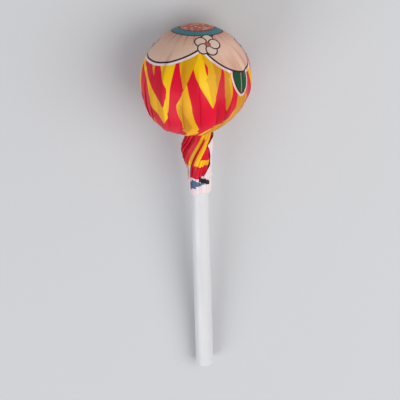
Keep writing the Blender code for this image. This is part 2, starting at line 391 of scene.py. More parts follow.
class LollipopPrint(PropertyGroup):
    """Inks of the wrapper's print."""

    red: colour_property("Red", "The red spikes", 222, 0, 48)
    yellow: colour_property("Yellow", "The yellow spikes", 250, 198, 0)
    # A duller, darker yellow printed in some of the spikes
    dull_yellow: colour_property("Dull yellow", "The yellow spikes where the film lies double", 226, 168, 4)
    fringe: colour_property("Fringe", "Where the two inks overlap", 248, 130, 34)
    halo: colour_property("Halo", "Bare film round the flower print and at the sheet's edge", 238, 222, 224)
    outline: colour_property("Outline", "Line round petals and leaves", 62, 30, 52)
    petal: colour_property("Petal", "Petals of the large flower", 229, 190, 167)
    blush: colour_property("Blush", "Heart of the flower, and the petals near it", 196, 92, 66)
    ring: colour_property("Ring", "Ring round the flower's heart", 62, 126, 138)
    leaf: colour_property("Leaf", "Leaves", 18, 88, 46)
    blossom: colour_property("Blossom", "Small blossoms, and the rims of the petals", 226, 200, 182)
    slate: colour_property("Slate", "Patch near the sheet's edge", 84, 108, 140)
    ink: colour_property("Ink", "Dark bar near the sheet's edge", 34, 32, 36)


class LollipopStick(PropertyGroup):
    """Sizes and colour of the stick."""

    radius: length_property("Radius", "Outer radius", 0.0020, 0.001, 4)
    bore: length_property("Bore radius", "Radius of the hole along the stick", 0.0011, 0.0, 4)
    length: length_property("Length", "Whole length", 0.0750, 0.02, 4)
    colour: colour_property("Colour", "Moulded plastic", 218, 218, 221)


class LollipopStage(PropertyGroup):
    """Camera, light and floor."""

    camera_elevation: angle_property("Camera elevation", "Height of the view over the upright sweet", 30)
    camera_distance: length_property("Camera distance", "From lens to sweet", 0.60, 0.1, 3)
    frame_height: length_property("Frame height", "What the picture takes in at the sweet", 0.089, 0.01, 4)
    aim_depth: length_property("Aim depth", "How far below the ball's centre the camera aims", 0.0304)
    lean: angle_property("Lean", "How far the sweet leans in the picture", 1.7)
    key_power: power_property("Key light", "Power of the large light at the right", 2.0)
    fill_power: power_property("Fill light", "Power of the light at the left", 1.3)
    sky: FloatProperty(name="Surround", description="Strength of the pale surround", default=0.40, min=0.0)
    floor: colour_property("Floor", "Plain pale floor", 200, 201, 204)


def ease(low, high, value):
    """0 before low, 1 after high and a smooth rise between them."""
    share = np.clip((value - low) / (high - low), 0.0, 1.0)
    return share * share * (3.0 - 2.0 * share)


def soft_max(a, b, width):
    """The larger of two lengths, with the crease between them rounded over a width."""
    near = np.maximum(width - np.abs(a - b), 0.0) / width
    return np.maximum(a, b) + near * near * width / 4.0


def vary(number, size, step, start):
    """A value up to a size either way that changes from one number to the next without repeating."""
    return size * np.sin(step * number + start)


def round_points(radius, bearing, height):
    """Points in the sweet's own frame, at a radius, a bearing and a height."""
    radius, bearing, height = np.broadcast_arrays(radius, bearing, height)
    return np.stack([radius * np.sin(bearing), -radius * np.cos(bearing), height], axis=-1)


def new_mesh(name, points, faces):
    mesh = bpy.data.meshes.new(name)
    mesh.from_pydata(points, [], faces)
    return mesh


def place_object(name, data):
    made = bpy.data.objects.new(name, data)
    bpy.context.scene.collection.objects.link(made)
    return made


def laid_down(film, stick):
    """The matrix that takes the sweet's own upright frame to where it lies."""
    height = film.ball_radius - film.floor_cut
    reach = stick.length - STICK_PAST_CENTRE - STICK_END_ROUND
    tilt = math.asin(height / math.hypot(reach, stick.radius)) - math.atan2(stick.radius, reach)
    return Matrix.Translation((0.0, 0.0, height)) @ Matrix.Rotation(tilt - math.pi / 2, 4, "X")


def neck_radius(depth, bearing):
    radius = NECK_TOP_RADIUS + (NECK_LOW_RADIUS - NECK_TOP_RADIUS) * ease(*NECK_TAPER, depth)
    facing = np.maximum(0.0, np.cos(bearing - GATHER_BEARING)) ** 2
    radius = radius + GATHER * facing * ease(*GATHER_RISE, depth) * (1.0 - ease(*GATHER_FADE, depth))
    radius = radius + (HEM_RADIUS - NECK_LOW_RADIUS) * ease(HEM_DEPTH - HEM_TUCK_LENGTH, HEM_DEPTH, depth)
    into_edge = np.clip((depth - HEM_DEPTH) / HEM_ROUND_LENGTH + 1.0, 0.0, 1.0)
    return radius - HEM_ROUND * (1.0 - np.sqrt(1.0 - into_edge**2))


def film_radius(ball, depth, bearing):
    """The film's radius at a depth below the ball's centre, before it is pleated."""
    leave = ball * math.sin(TENT_ANGLE)
    on_ball = np.sqrt(np.maximum(ball**2 - depth**2, 0.0))
    on_tent = ball * math.cos(TENT_ANGLE) - (depth - leave) * math.tan(TENT_ANGLE)
    lobe = SLACK * np.cos(bearing - SLACK_BEARING)
    lobe = lobe + SHOULDER_LOBE_DEPTH * np.cos(SHOULDER_LOBES * (bearing - SLACK_BEARING))
    lobe = lobe * ease(*SHOULDER_RISE, depth) * (1.0 - ease(*SHOULDER_FADE, depth))
    neck = neck_radius(depth, bearing)
    below = soft_max(np.where(depth < leave, on_ball, on_tent) + lobe, neck, NECK_BLEND)
    return np.where(depth < 0.0, on_ball, below)


def stations(ball):
    """Each ring's depth, and its travel along the film from the tip, as two columns."""
    cap = np.arange(1, CAP_RINGS + 1) / CAP_RINGS * (math.pi / 2)
    side = np.arange(1, SIDE_RINGS + 1) / SIDE_RINGS * SIDE_SWEEP
    drop = np.arange(1, NECK_RINGS + 1) / NECK_RINGS * (HEM_DEPTH - NECK_TOP_DEPTH)
    on_side = NECK_TOP_DEPTH * np.sin(side) / math.sin(SIDE_SWEEP)
    depth = np.concatenate([-ball * np.cos(cap), on_side, NECK_TOP_DEPTH + drop])
    half_way = ball * math.pi / 2
    travel = np.concatenate([ball * cap, half_way + ball * side, half_way + ball * SIDE_SWEEP + drop])
    return depth[:, None], travel[:, None]


def pleat_columns(pleats):
    """For every column of the film: its pleat, its share across it flat and folded, and its lift."""
    face = np.linspace(0.0, 1.0, FACE_COLUMNS)
    flat = np.concatenate([face * FLAT_CREST, EDGE_FLAT])
    folded = np.concatenate([face, EDGE_FOLDED])
    lift = np.concatenate([face**FACE_SWELL - 0.5, EDGE_LIFT])
    pleat = np.repeat(np.arange(pleats), len(flat))
    return pleat, np.tile(flat, pleats), np.tile(folded, pleats), np.tile(lift, pleats)


def dents(bearing, travel):
    """Seamless noise round the film, drawn out along it."""
    places = (np.cos(bearing) * DENTS_ROUND, np.sin(bearing) * DENTS_ROUND, travel * DENT_STRETCH)
    places = np.stack(np.broadcast_arrays(*places), axis=-1)
    heights = [noise.fractal(place, 1.0, 2.0, DENT_OCTAVES) for place in places.reshape(-1, 3)]
    return np.reshape(heights, bearing.shape)


def facets(bearing, travel):
    """Height of the film's facets between straight creases, from -1 to 1, and how much each one turns."""
    number = np.arange(-3, CREASE_LINES + 4)
    place = number % CREASE_LINES
    line = math.tau * (number + vary(place, *CREASE_SPACING)) / CREASE_LINES
    slant = vary(place, *CREASE_SLANT) / CREASE_SLANT_TRAVEL
    ridge = sum(vary(place, *sine) for sine in CREASE_HEIGHTS)
    height = np.empty(bearing.shape)
    slope = np.empty(bearing.shape)
    for ring, way in enumerate(travel[:, 0]):
        lines = line + slant * (way - CREASE_PIVOT)
        height[ring] = np.interp(bearing[ring], lines, ridge)
        facet = np.searchsorted(lines, bearing[ring]) - 1
        slope[ring] = (ridge[facet + 1] - ridge[facet]) / (lines[facet + 1] - lines[facet])
    return height, slope


def film_skin(film):
    """The wrapper's outer rings: their points, their place on the flat sheet, and the painted shade of its
    folds and of its facets.
    """
    ball = film.ball_radius
    depth, travel = stations(ball)
    pleat, flat, folded, lift = pleat_columns(film.pleats)

    def pleat_line(number):
        return math.tau * (number + vary(number % film.pleats, *PLEAT_SPACING)) / film.pleats

    start = pleat_line(pleat)
    width = pleat_line(pleat + 1) - start
    begins = PLEAT_START + vary(pleat, *PLEAT_START_CHANGE)
    growth = ease(begins, begins + PLEAT_GROWTH, travel)
    across = flat + (folded - flat) * growth
    material = start + width * across
    twist = -film.twist * ease(*TWIST_DEPTHS, depth)
    bearing = material + twist

    neck = ease(*PLEAT_NECK_RISE, depth)
    height = film.pleat_height_ball + (film.pleat_height_neck - film.pleat_height_ball) * neck
    height = height * (PLEAT_STRENGTH + vary(pleat, *PLEAT_STRENGTH_CHANGE))
    height = height * (1.0 - HEM_PRESS * ease(HEM_DEPTH - HEM_PRESS_LENGTH, HEM_DEPTH, depth))

    creases, slope = facets(material, travel)
    radius = film_radius(ball, depth, bearing) + height * growth * lift
    radius = radius + film.crease_height * ease(*CREASE_RISE, travel) * (1.0 - CREASE_LOSS * neck) * creases
    dent = np.minimum(dents(material, travel), DENT_LIMIT)
    radius = radius + film.dent_height * ease(*DENT_RISE, travel) * dent
    wave = HEM_WAVE * np.sin(HEM_WAVES * bearing + HEM_WAVE_PHASE)
    wave = wave * ease(HEM_DEPTH - HEM_WAVE_LENGTH, HEM_DEPTH, depth)
    points = round_points(radius, bearing, wave - depth)

    side = film_radius(ball, depth[:, 0], SLACK_BEARING + math.pi / 2)
    steps = np.hypot(np.diff(side, prepend=0.0), np.diff(depth[:, 0], prepend=-ball))
    spread = np.cumsum(steps)[:, None]
    hidden = HIDDEN_ON_BALL + (1.0 - HIDDEN_ON_BALL) * neck
    stretch = 1.0 + (np.maximum(side[:, None] / spread, LEAST_STRETCH) - 1.0) * growth * hidden
    middle = start + width * 0.5
    sheet = round_points(spread, middle + (material - middle) * stretch, 0.0)[..., :2] / MM
    # Painted shade: the hollow where each pleat tucks under the next is darkened, which also stands for the
    # film lying double there; it is weaker on the ball and fades at the hem
    pressed = 1.0 - HEM_SHADE_LOSS * ease(*HEM_SHADE_FADE, depth)
    shade_weight = (SHADE_ON_BALL + (1.0 - SHADE_ON_BALL) * neck) * pressed
    shade = np.clip(0.5 - lift, 0.0, 1.0) ** 2 * growth * shade_weight
    # Painted shade: a facet is lighter or darker by the way its slope faces, as if lit from one side
    tone = np.clip(0.5 + slope / FACET_SHADE_SLOPE, 0.0, 1.0) * ease(*CREASE_RISE, travel) * pressed
    return points, sheet, np.broadcast_to(shade, radius.shape), tone


def band(upper, lower, count):
    """Faces between two rings of points that start at two numbers."""
    here = np.arange(count)
    return [(upper + a, lower + a, lower + b, upper + b) for a, b in zip(here, np.roll(here, -1))]


def closed_skin(name, first, rings, last):
    """A closed mesh from a first point through rings of equal count to a last point."""
    count = rings.shape[1]
    points = np.concatenate([[first], rings.reshape(-1, 3), [last]])
    starts = [1 + ring * count for ring in range(len(rings))]
    faces = [(0, a, b) for a, _, b, _ in band(1, 1, count)]
    for upper, lower in zip(starts, starts[1:]):
        faces += band(upper, lower, count)
    faces += [(a, len(points) - 1, b) for a, _, _, b in band(starts[-1], starts[-1], count)]
    mesh = new_mesh(name, points.tolist(), faces)
    mesh.validate()
    return mesh


def sheet_skin(name, outer, inner):
    """A closed mesh from two grids of points, an outer and an inner side, joined round their edges."""
    rows, columns = outer.shape[:2]
    points = np.concatenate([outer.reshape(-1, 3), inner.reshape(-1, 3)])
    count = rows * columns
    grid = np.arange(count).reshape(rows, columns)
    a, b, c, d = [part.ravel() for part in (grid[:-1, :-1], grid[:-1, 1:], grid[1:, 1:], grid[1:, :-1])]
    faces = [*zip(a, d, c, b), *zip(count + a, count + b, count + c, count + d)]
    border = [*grid[0], *grid[1:, -1], *grid[-1, -2::-1], *grid[-2:0:-1, 0]]
    faces += [(a, b, count + b, count + a) for a, b in zip(border, border[1:] + border[:1])]
    return new_mesh(name, points.tolist(), faces)


def tube_skin(name, outline):
    """A closed round tube from the radius and depth of each corner of its wall."""
    bearings = np.linspace(0.0, math.tau, STICK_SIDES, endpoint=False)
    points = np.concatenate([round_points(radius, bearings, -depth) for radius, depth in outline])
    faces = []
    for ring in range(len(outline)):
        faces += band(ring * STICK_SIDES, (ring + 1) % len(outline) * STICK_SIDES, STICK_SIDES)
    return new_mesh(name, points.tolist(), faces)


def eased_corner(radius, depth, start):
    """A quarter round of the stick's outline about its own centre, as radii and depths."""
    turns = start + np.linspace(0.0, math.pi / 2, STICK_END_STEPS + 1)
    return list(zip(radius + STICK_END_ROUND * np.sin(turns), depth - STICK_END_ROUND * np.cos(turns)))


def add_piece(name, mesh, material, node):
    """Puts a piece in the scene, on the sweet's one body, in place of its plain solid."""
    mesh.materials.append(material)
    mesh.shade_smooth()
    piece = place_object(name, mesh)
    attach(piece, "root")
    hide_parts(node)


class Wiring:
    """Adds nodes to one tree and joins them. Its methods give back the socket that comes out."""

    ROWS = 10

    def __init__(self, tree):
        self.tree = tree
        self.count = 0

    def node(self, kind, **settings):
        made = self.tree.nodes.new(kind)
        for name, value in settings.items():
            setattr(made, name, value)
        made.location = (200 * (self.count // self.ROWS), -170 * (self.count % self.ROWS))
        self.count += 1
        return made

    def feed(self, socket, value):
        if isinstance(value, bpy.types.NodeSocket):
            self.tree.links.new(value, socket)
        else:
            socket.default_value = value

    def fed(self, kind, values, **settings):
        """A new node with its first inputs fed in their order."""
        made = self.node(kind, **settings)
        for socket, value in zip(made.inputs, values):
            self.feed(socket, value)
        return made

    def group(self, tree, *values):
        return self.fed("ShaderNodeGroup", values, node_tree=tree).outputs

    def math(self, operation, *values):
        return self.fed("ShaderNodeMath", values, operation=operation).outputs[0]

    def vector(self, operation, *values):
        made = self.fed("ShaderNodeVectorMath", values, operation=operation)
        return made.outputs["Value" if operation in ("LENGTH", "DISTANCE", "DOT_PRODUCT") else "Vector"]

    def remap(self, *value_from_to):
        """A value brought from one range to another, 0 to 1 if that isn't given, and kept in it."""
        return self.fed("ShaderNodeMapRange", value_from_to).outputs["Result"]

    def mix(self, factor, below, above, blend="MIX"):
        made = self.node("ShaderNodeMix", data_type="RGBA", blend_type=blend)
        for number, value in ((0, factor), (6, below), (7, above)):
            self.feed(made.inputs[number], value)
        return made.outputs[2]

    def noise(self, vector, scale, detail):
        return self.fed("ShaderNodeTexNoise", (vector, 0.0, scale, detail)).outputs["Fac"]


def new_group(name, inputs, outputs):
    """An empty shader node group with sockets by name and kind, and the wiring to fill it."""
    tree = bpy.data.node_groups.new(name, "ShaderNodeTree")
    for way, sockets in (("INPUT", inputs), ("OUTPUT", outputs)):
        for label, kind in sockets.items():
            tree.interface.new_socket(name=label, in_out=way, socket_type="NodeSocket" + kind)
    wires = Wiring(tree)
    return tree, wires, wires.node("NodeGroupInput").outputs, wires.node("NodeGroupOutput").inputs


def hidden_spikes():
    """The yellow spikes that hang from the flower print round the back."""
    spikes = []
    for number in range(HIDDEN_SPIKES):
        shift, point, base, half, lean = [mean + vary(number, *sine) for mean, *sine in HIDDEN_SPIKE_SIZES]
        bearing = HIDDEN_SPIKES_FROM + HIDDEN_SPIKE_STEP * number + shift
        waist = [bearing + lean / 2 + half * share for share in HIDDEN_SPIKE_WAIST]
        tip = (point, bearing + lean, bearing + lean)
        spikes.append(((base, bearing - half, bearing + half), ((point + base) / 2, *waist), tip))
    return spikes


def side_curve(wires, spread_share, rows, middle, side):
    """One side of a drawn shape, as its turn from the shape's middle bearing, 0.5 for none."""
    made = wires.node("ShaderNodeFloatCurve")
    curve = made.mapping.curves[0]
    places = [(row[0] / SPREAD_LIMIT, (row[side] - middle) / 180 + 0.5) for row in rows]
    opening = (POINT_OPENING if side == 1 else -POINT_OPENING) / 180
    reach = POINT_REACH / SPREAD_LIMIT
    if rows[0][1] == rows[0][2]:
        places.insert(0, (places[0][0] - reach, places[0][1] + opening))
    if rows[-1][1] == rows[-1][2]:
        places.append((places[-1][0] + reach, places[-1][1] + opening))
    curve.points[0].location = (0.0, places[0][1])
    curve.points[1].location = (1.0, places[-1][1])
    for place in places:
        curve.points.new(*place)
    for point in curve.points:
        point.handle_type = "VECTOR"
    made.mapping.update()
    wires.feed(made.inputs["Value"], spread_share)
    return made.outputs[0]


def shape_reach(wires, spread, bearing, shapes):
    """How far inside the nearest drawn shape a place is, in millimetres; below 0 is outside."""
    spread_share = wires.math("DIVIDE", spread, SPREAD_LIMIT)
    inside = -1.0
    for rows in shapes:
        turns = [turn for row in rows for turn in row[1:]]
        middle = (min(turns) + max(turns)) / 2
        turned = wires.math("WRAP", wires.math("SUBTRACT", bearing, middle / 180 - 0.5), 1.5, -0.5)
        one = wires.math("SUBTRACT", turned, side_curve(wires, spread_share, rows, middle, 1))
        other = wires.math("SUBTRACT", side_curve(wires, spread_share, rows, middle, 2), turned)
        inside = wires.math("MAXIMUM", wires.math("MINIMUM", one, other), inside)
    return wires.math("MULTIPLY", wires.math("MULTIPLY", inside, spread), math.pi)


def spike_print():
    """Red and yellow spikes round the sheet, bare film at its edge and two marks near one side."""
    inks = ("Red", "Yellow", "Dull Yellow", "Fringe", "Bare", "Slate", "Ink")
    sockets = {"Sheet": "Vector", **dict.fromkeys(inks, "Color")}
    tree, wires, given, out = new_group("Spike print", sockets, {"Color": "Color"})
    sheet, red, yellow, dull_yellow, fringe, bare_film, slate, ink = given[:-1]
    spread = wires.vector("LENGTH", sheet)
    x, y, _ = wires.fed("ShaderNodeSeparateXYZ", [sheet]).outputs
    bearing = wires.math("ARCTAN2", x, wires.math("MULTIPLY", y, -1.0))
    bearing = wires.math("DIVIDE", bearing, math.pi)
    bright = shape_reach(wires, spread, bearing, [*SHOWN_SPIKES, *hidden_spikes(), *RISING_SPIKES])
    dull = shape_reach(wires, spread, bearing, DULL_SPIKES)
    reach = wires.math("MAXIMUM", bright, dull)
    colour = wires.mix(wires.math("GREATER_THAN", reach, -FRINGE_WIDTH), red, fringe)
    colour = wires.mix(wires.math("GREATER_THAN", reach, 0.0), colour, yellow)
    colour = wires.mix(wires.remap(dull, -DULL_SOFTNESS, DULL_SOFTNESS), colour, dull_yellow)
    edge = wires.math("SUBTRACT", spread, BARE_SPREAD)
    bare = wires.math("MAXIMUM", edge, shape_reach(wires, spread, bearing, BARE_MARKS))
    colour = wires.mix(wires.math("GREATER_THAN", bare, 0.0), colour, bare_film)
    for marks, fill in ((SLATE_MARKS, slate), (INK_MARKS, ink)):
        marked = wires.math("GREATER_THAN", shape_reach(wires, spread, bearing, marks), 0.0)
        colour = wires.mix(marked, colour, fill)
    wires.feed(out["Color"], colour)
    return tree


def disc(wires, sheet, centre, radius):
    """Distance outside a disc on the sheet; below 0 is inside."""
    return wires.math("SUBTRACT", wires.vector("DISTANCE", sheet, (*centre, 0.0)), radius)


def leaf(wires, sheet, base, tip, half_width):
    """Distance outside a pointed leaf, which is where two discs overlap."""
    base = Vector(base)
    tip = Vector(tip)
    length = (tip - base).length
    radius = (length * length / 4 + half_width * half_width) / (2 * half_width)
    aside = (tip - base).orthogonal().normalized() * (radius - half_width)
    middle = (base + tip) / 2
    one = disc(wires, sheet, middle + aside, radius)
    other = disc(wires, sheet, middle - aside, radius)
    return wires.math("MAXIMUM", one, other)


def lay(wires, under, distance, fill, outline, line_width):
    """Lays one motif with its outline over what is printed so far."""
    colour = wires.mix(wires.math("LESS_THAN", distance, line_width), under, outline)
    return wires.mix(wires.math("LESS_THAN", distance, 0.0), colour, fill)


def flower_print():
    """A large flower with leaves and small blossoms, with a bare halo, over what is printed under them."""
    inks = ("Under", "Halo", "Outline", "Petal", "Blush", "Ring", "Leaf", "Blossom")
    sockets = {"Sheet": "Vector", **dict.fromkeys(inks, "Color")}
    tree, wires, given, out = new_group("Flower print", sockets, {"Color": "Color"})
    sheet, under, halo, outline, petal, blush, ring, leaf_green, blossom = given[:-1]
    petal_edges = [disc(wires, sheet, centre, radius) for centre, radius in PETALS]
    leaf_edges = [leaf(wires, sheet, *sizes) for sizes in LEAVES]
    whole = petal_edges[0]
    for edge in [*petal_edges[1:], *leaf_edges]:
        whole = wires.math("MINIMUM", whole, edge)
    colour = wires.mix(wires.math("LESS_THAN", whole, HALO_WIDTH), under, halo)
    for (base, tip, _), edge in zip(LEAVES, leaf_edges):
        vein = Vector(tip) - Vector(base)
        across = wires.vector("DOT_PRODUCT", sheet, (-vein.y / vein.length, vein.x / vein.length, 0.0))
        offset = (-vein.y * base[0] + vein.x * base[1]) / vein.length
        on_vein = wires.math("COMPARE", across, offset, LEAF_VEIN)
        fill = wires.mix(wires.math("MULTIPLY", on_vein, LEAF_VEIN_STRENGTH), leaf_green, halo)
        colour = lay(wires, colour, edge, fill, outline, LEAF_LINE)

    from_heart = wires.vector("DISTANCE", sheet, (*HEART, 0.0))
    x, y, _ = wires.fed("ShaderNodeSeparateXYZ", [wires.vector("SUBTRACT", sheet, (*HEART, 0.0))]).outputs
    turn = wires.math("MULTIPLY", wires.math("ARCTAN2", y, x), VEINS / math.tau)
    aside = wires.math("MULTIPLY", wires.math("PINGPONG", turn, 0.5), from_heart)
    on_vein = wires.math("LESS_THAN", aside, PETAL_VEIN * VEINS / math.tau)
    veined = wires.math("MULTIPLY", on_vein, wires.remap(from_heart, *VEIN_FADE))
    flesh = wires.mix(wires.remap(from_heart, *BLUSH_FADE), petal, blush)
    flesh = wires.mix(veined, flesh, outline)
    for edge in petal_edges:
        fill = wires.mix(wires.remap(edge, *RIM_GROWTH), flesh, blossom)
        colour = lay(wires, colour, edge, fill, outline, PETAL_LINE)
    stamens = wires.fed("ShaderNodeTexVoronoi", (sheet, 0.0, HEART_DOT_SCALE), voronoi_dimensions="2D")
    dots = wires.math("LESS_THAN", stamens.outputs["Distance"], HEART_DOT_SIZE)
    heart = wires.mix(wires.math("MULTIPLY", dots, HEART_DOT_STRENGTH), blush, petal)
    colour = lay(wires, colour, wires.math("SUBTRACT", from_heart, HEART_RADIUS), heart, outline, 0.0)
    from_ring = wires.math("ABSOLUTE", wires.math("SUBTRACT", from_heart, RING_RADIUS))
    edge = wires.math("SUBTRACT", from_ring, RING_HALF_WIDTH)
    colour = lay(wires, colour, edge, ring, outline, RING_LINE)

    for centre, size in BLOSSOMS:
        for number in range(BLOSSOM_PETALS):
            way = math.tau * number / BLOSSOM_PETALS + size
            around = (centre[0] + size * math.cos(way), centre[1] + size * math.sin(way))
            edge = disc(wires, sheet, around, BLOSSOM_PETAL * size)
            colour = lay(wires, colour, edge, blossom, outline, BLOSSOM_LINE)
        edge = disc(wires, sheet, centre, BLOSSOM_HEART * size)
        colour = lay(wires, colour, edge, blush, outline, BLOSSOM_HEART_LINE)
    wires.feed(out["Color"], colour)
    return tree


def drawn_relief():
    """Fine lines drawn out along one axis, with a softer unevenness under them."""
    sockets = {"Vector": "Vector", "Line Scale": "Float", "Patch Scale": "Float"}
    tree, wires, given, out = new_group("Drawn relief", sockets, {"Height": "Float", "Patches": "Float"})
    lines = wires.noise(given["Vector"], given["Line Scale"], detail=3.0)
    patches = wires.noise(given["Vector"], given["Patch Scale"], detail=2.0)
    wires.feed(out["Height"], wires.math("MULTIPLY_ADD", patches, 0.8, lines))
    wires.feed(out["Patches"], patches)
    return tree


def relief_group():
    """The one relief group that film and stick share."""
    return bpy.data.node_groups.get("Drawn relief") or drawn_relief()


def stretched_relief(wires, stretch, scales, tilt=0.0):
    """The relief drawn out along a piece that leans by a tilt."""
    place = wires.node("ShaderNodeTexCoord").outputs["Object"]
    run = wires.fed("ShaderNodeMapping", (place, (0.0, 0.0, 0.0), (-tilt, 0.0, 0.0), stretch)).outputs[0]
    return wires.group(relief_group(), run, *scales)


def plain_material(name):
    material = bpy.data.materials.new(name)
    material.use_nodes = True
    return material, Wiring(material.node_tree), material.node_tree.nodes["Principled BSDF"].inputs


def add_surface(wires, shader, lines, roughness, strength, distance):
    """Lets the relief's patches vary the roughness, and its height raise the surface."""
    wires.feed(shader["Roughness"], wires.remap(lines["Patches"], *PATCHES, *roughness))
    bump = wires.node("ShaderNodeBump")
    wires.feed(bump.inputs["Strength"], strength)
    wires.feed(bump.inputs["Distance"], distance)
    wires.feed(bump.inputs["Height"], lines["Height"])
    wires.feed(shader["Normal"], bump.outputs["Normal"])


def film_material(inks):
    """Thin printed film: satin gloss, with fine wrinkles that run down the sheet."""
    material, wires, shader = plain_material("printed_film")
    sheet = wires.node("ShaderNodeUVMap", uv_map=SHEET_MAP).outputs["UV"]
    spike_inks = (inks.red, inks.yellow, inks.dull_yellow, inks.fringe, inks.halo, inks.slate, inks.ink)
    spikes = wires.group(spike_print(), sheet, *spike_inks)
    flower_inks = (inks.halo, inks.outline, inks.petal, inks.blush, inks.ring, inks.leaf, inks.blossom)
    flower = wires.group(flower_print(), sheet, spikes["Color"], *flower_inks)
    heading = wires.vector("MULTIPLY", wires.vector("NORMALIZE", sheet), (FILM_LINES_ROUND,) * 3)
    climb = wires.math("MULTIPLY", wires.vector("LENGTH", sheet), FILM_LINES_ALONG)
    run = wires.vector("ADD", heading, wires.fed("ShaderNodeCombineXYZ", (0.0, 0.0, climb)).outputs[0])
    lines = wires.group(relief_group(), run, *FILM_LINE_AND_PATCH)
    # Painted shade: the folds' hollows are darkened with a warm dark tint, partly standing for the film
    # lying double there
    shade = wires.node("ShaderNodeAttribute", attribute_name=SHADE).outputs["Fac"]
    fold_shaded = wires.mix(wires.math("MULTIPLY", shade, FOLD_SHADE_STRENGTH), flower["Color"], FOLD_SHADE_TINT, "MULTIPLY")
    # Painted shade: facets are darkened by the way they face, as if turned from the light, with random
    # patches added in
    facet = wires.node("ShaderNodeAttribute", attribute_name=FACET_SHADE).outputs["Fac"]
    facet = wires.math("ADD", facet, wires.remap(lines["Patches"], *PATCHES, *FACET_SHADE_CHANGE))
    facet_shaded = wires.mix(wires.remap(facet, *FACET_SHADE_RANGE), fold_shaded, FACET_SHADE_TINT, "MULTIPLY")
    wires.feed(shader["Base Color"], facet_shaded)
    wires.feed(shader["Specular IOR Level"], 0.20)
    wires.feed(shader["Coat Weight"], 0.05)
    wires.feed(shader["Coat Roughness"], 0.20)
    add_surface(wires, shader, lines, FILM_ROUGHNESS, *FILM_BUMP)
    return material


def flap_material(colour):
    """The unprinted back of the film."""
    material, wires, shader = plain_material("film_back")
    lines = stretched_relief(wires, BACK_STRETCH, BACK_LINE_AND_PATCH)
    tone = wires.remap(lines["Patches"], *BACK_TINT_GROWTH)
    wires.feed(shader["Base Color"], wires.mix(tone, tuple(colour), BACK_TINT, "MULTIPLY"))
    add_surface(wires, shader, lines, BACK_ROUGHNESS, *BACK_BUMP)
    return material


def stick_material(colour, tilt):
    """White moulded plastic with faint lines drawn along it and slight scuffs."""
    material, wires, shader = plain_material("stick_plastic")
    lines = stretched_relief(wires, STICK_STRETCH, STICK_LINE_AND_PATCH, tilt)
    tone = wires.remap(lines["Patches"], *STICK_TINT_GROWTH)
    wires.feed(shader["Base Color"], wires.mix(tone, tuple(colour), STICK_TINT, "MULTIPLY"))
    wires.feed(shader["Subsurface Weight"], 0.25)
    wires.feed(shader["Subsurface Radius"], (0.0016, 0.0015, 0.0014))
    wires.feed(shader["Subsurface Scale"], 1.0)
    add_surface(wires, shader, lines, STICK_ROUGHNESS, *STICK_BUMP)
    return material


class LOLLIPOP_OT_wrapper(Operator):
    """Make the wrapped ball: printed film over the sweet, pleated and twisted onto the stick"""

    bl_idname = "lollipop.wrapper"
    bl_label = "Wrapped ball"

    def execute(self, context):
        film = context.scene.lollipop_film
        stick = context.scene.lollipop_stick
        points, sheet, shade, tone = film_skin(film)
        bore = stick.radius + BORE_CLEARANCE
        hole_end = STICK_PAST_CENTRE + BORE_CLEARANCE
        bearings = np.arctan2(points[-1, :, 0], -points[-1, :, 1])
        lip = (points[-1] + round_points(bore, bearings, points[-1, :, 2])) / 2
        depths = (HEM_DEPTH - 2 * HEM_WAVE, *BORE_RINGS, -hole_end)
        rings = np.concatenate([points, [lip], [round_points(bore, bearings, -depth) for depth in depths]])
        mesh = closed_skin("wrapped_film", (0.0, 0.0, film.ball_radius), rings, (0.0, 0.0, hole_end))
        mesh.transform(laid_down(film, stick))
        low = np.empty(len(mesh.vertices) * 3)
        mesh.vertices.foreach_get("co", low)
        low[2::3] = np.maximum(low[2::3], 0.0)
        mesh.vertices.foreach_set("co", low)

        def for_each_point(given):
            given = np.concatenate([given, np.repeat(given[-1:], len(rings) - len(given), axis=0)])
            given = given.reshape(-1, *given.shape[2:])
            return np.concatenate([given[:1] * 0.0, given, given[-1:]])

        loops = np.empty(len(mesh.loops), dtype=np.int32)
        mesh.loops.foreach_get("vertex_index", loops)
        layer = mesh.uv_layers.new(name=SHEET_MAP)
        layer.data.foreach_set("uv", for_each_point(sheet)[loops].ravel())
        # Stores the painted shade of the folds and of the facets on the points, for the film's material
        for label, given in ((SHADE, shade), (FACET_SHADE, tone)):
            mesh.attributes.new(label, "FLOAT", "POINT").data.foreach_set("value", for_each_point(given))
        add_piece("wrapped_film", mesh, film_material(context.scene.lollipop_print), "wrapped_ball")
        return {"FINISHED"}


class LOLLIPOP_OT_flap(Operator):
    """Make the loose flap of film, which shows its bare back down one side of the neck"""

    bl_idname = "lollipop.flap"
    bl_label = "Film flap"

    def execute(self, context):
        film = context.scene.lollipop_film
        depth, free, sunk = [np.array(column) for column in zip(*FLAP_ROWS)]
        levels = np.linspace(depth[0], depth[-1], FLAP_STEPS)[:, None]
        free = np.radians(np.interp(levels, depth, free))
        sunk = np.radians(np.interp(levels, depth, sunk))
        across = np.linspace(0.0, 1.0, FLAP_COLUMNS)[None, :]
        bearing = free + (sunk - free) * across
        proud = FLAP_PROUD * (1.0 - FLAP_SINK * across**FLAP_SINK_POWER)
        proud = proud + FLAP_CURL * np.maximum(1.0 - across / FLAP_CURL_SHARE, 0.0)
        ripple = FLAP_RIPPLE * np.sin(levels / FLAP_RIPPLE_LENGTH * math.tau + FLAP_RIPPLE_SLANT * across)
        ripple = ripple + FLAP_FOLD * np.abs(np.sin(FLAP_FOLDS * bearing + levels / FLAP_FOLD_SLANT))
        outer = film_radius(film.ball_radius, levels, bearing) + proud + ripple
        sides = [round_points(radius, bearing, -levels) for radius in (outer, outer - FLAP_THICKNESS)]
        mesh = sheet_skin("film_flap", *sides)
        mesh.transform(laid_down(film, context.scene.lollipop_stick))
        material = flap_material(context.scene.lollipop_print.halo)
        add_piece("film_flap", mesh, material, "wrapped_ball")
        return {"FINISHED"}


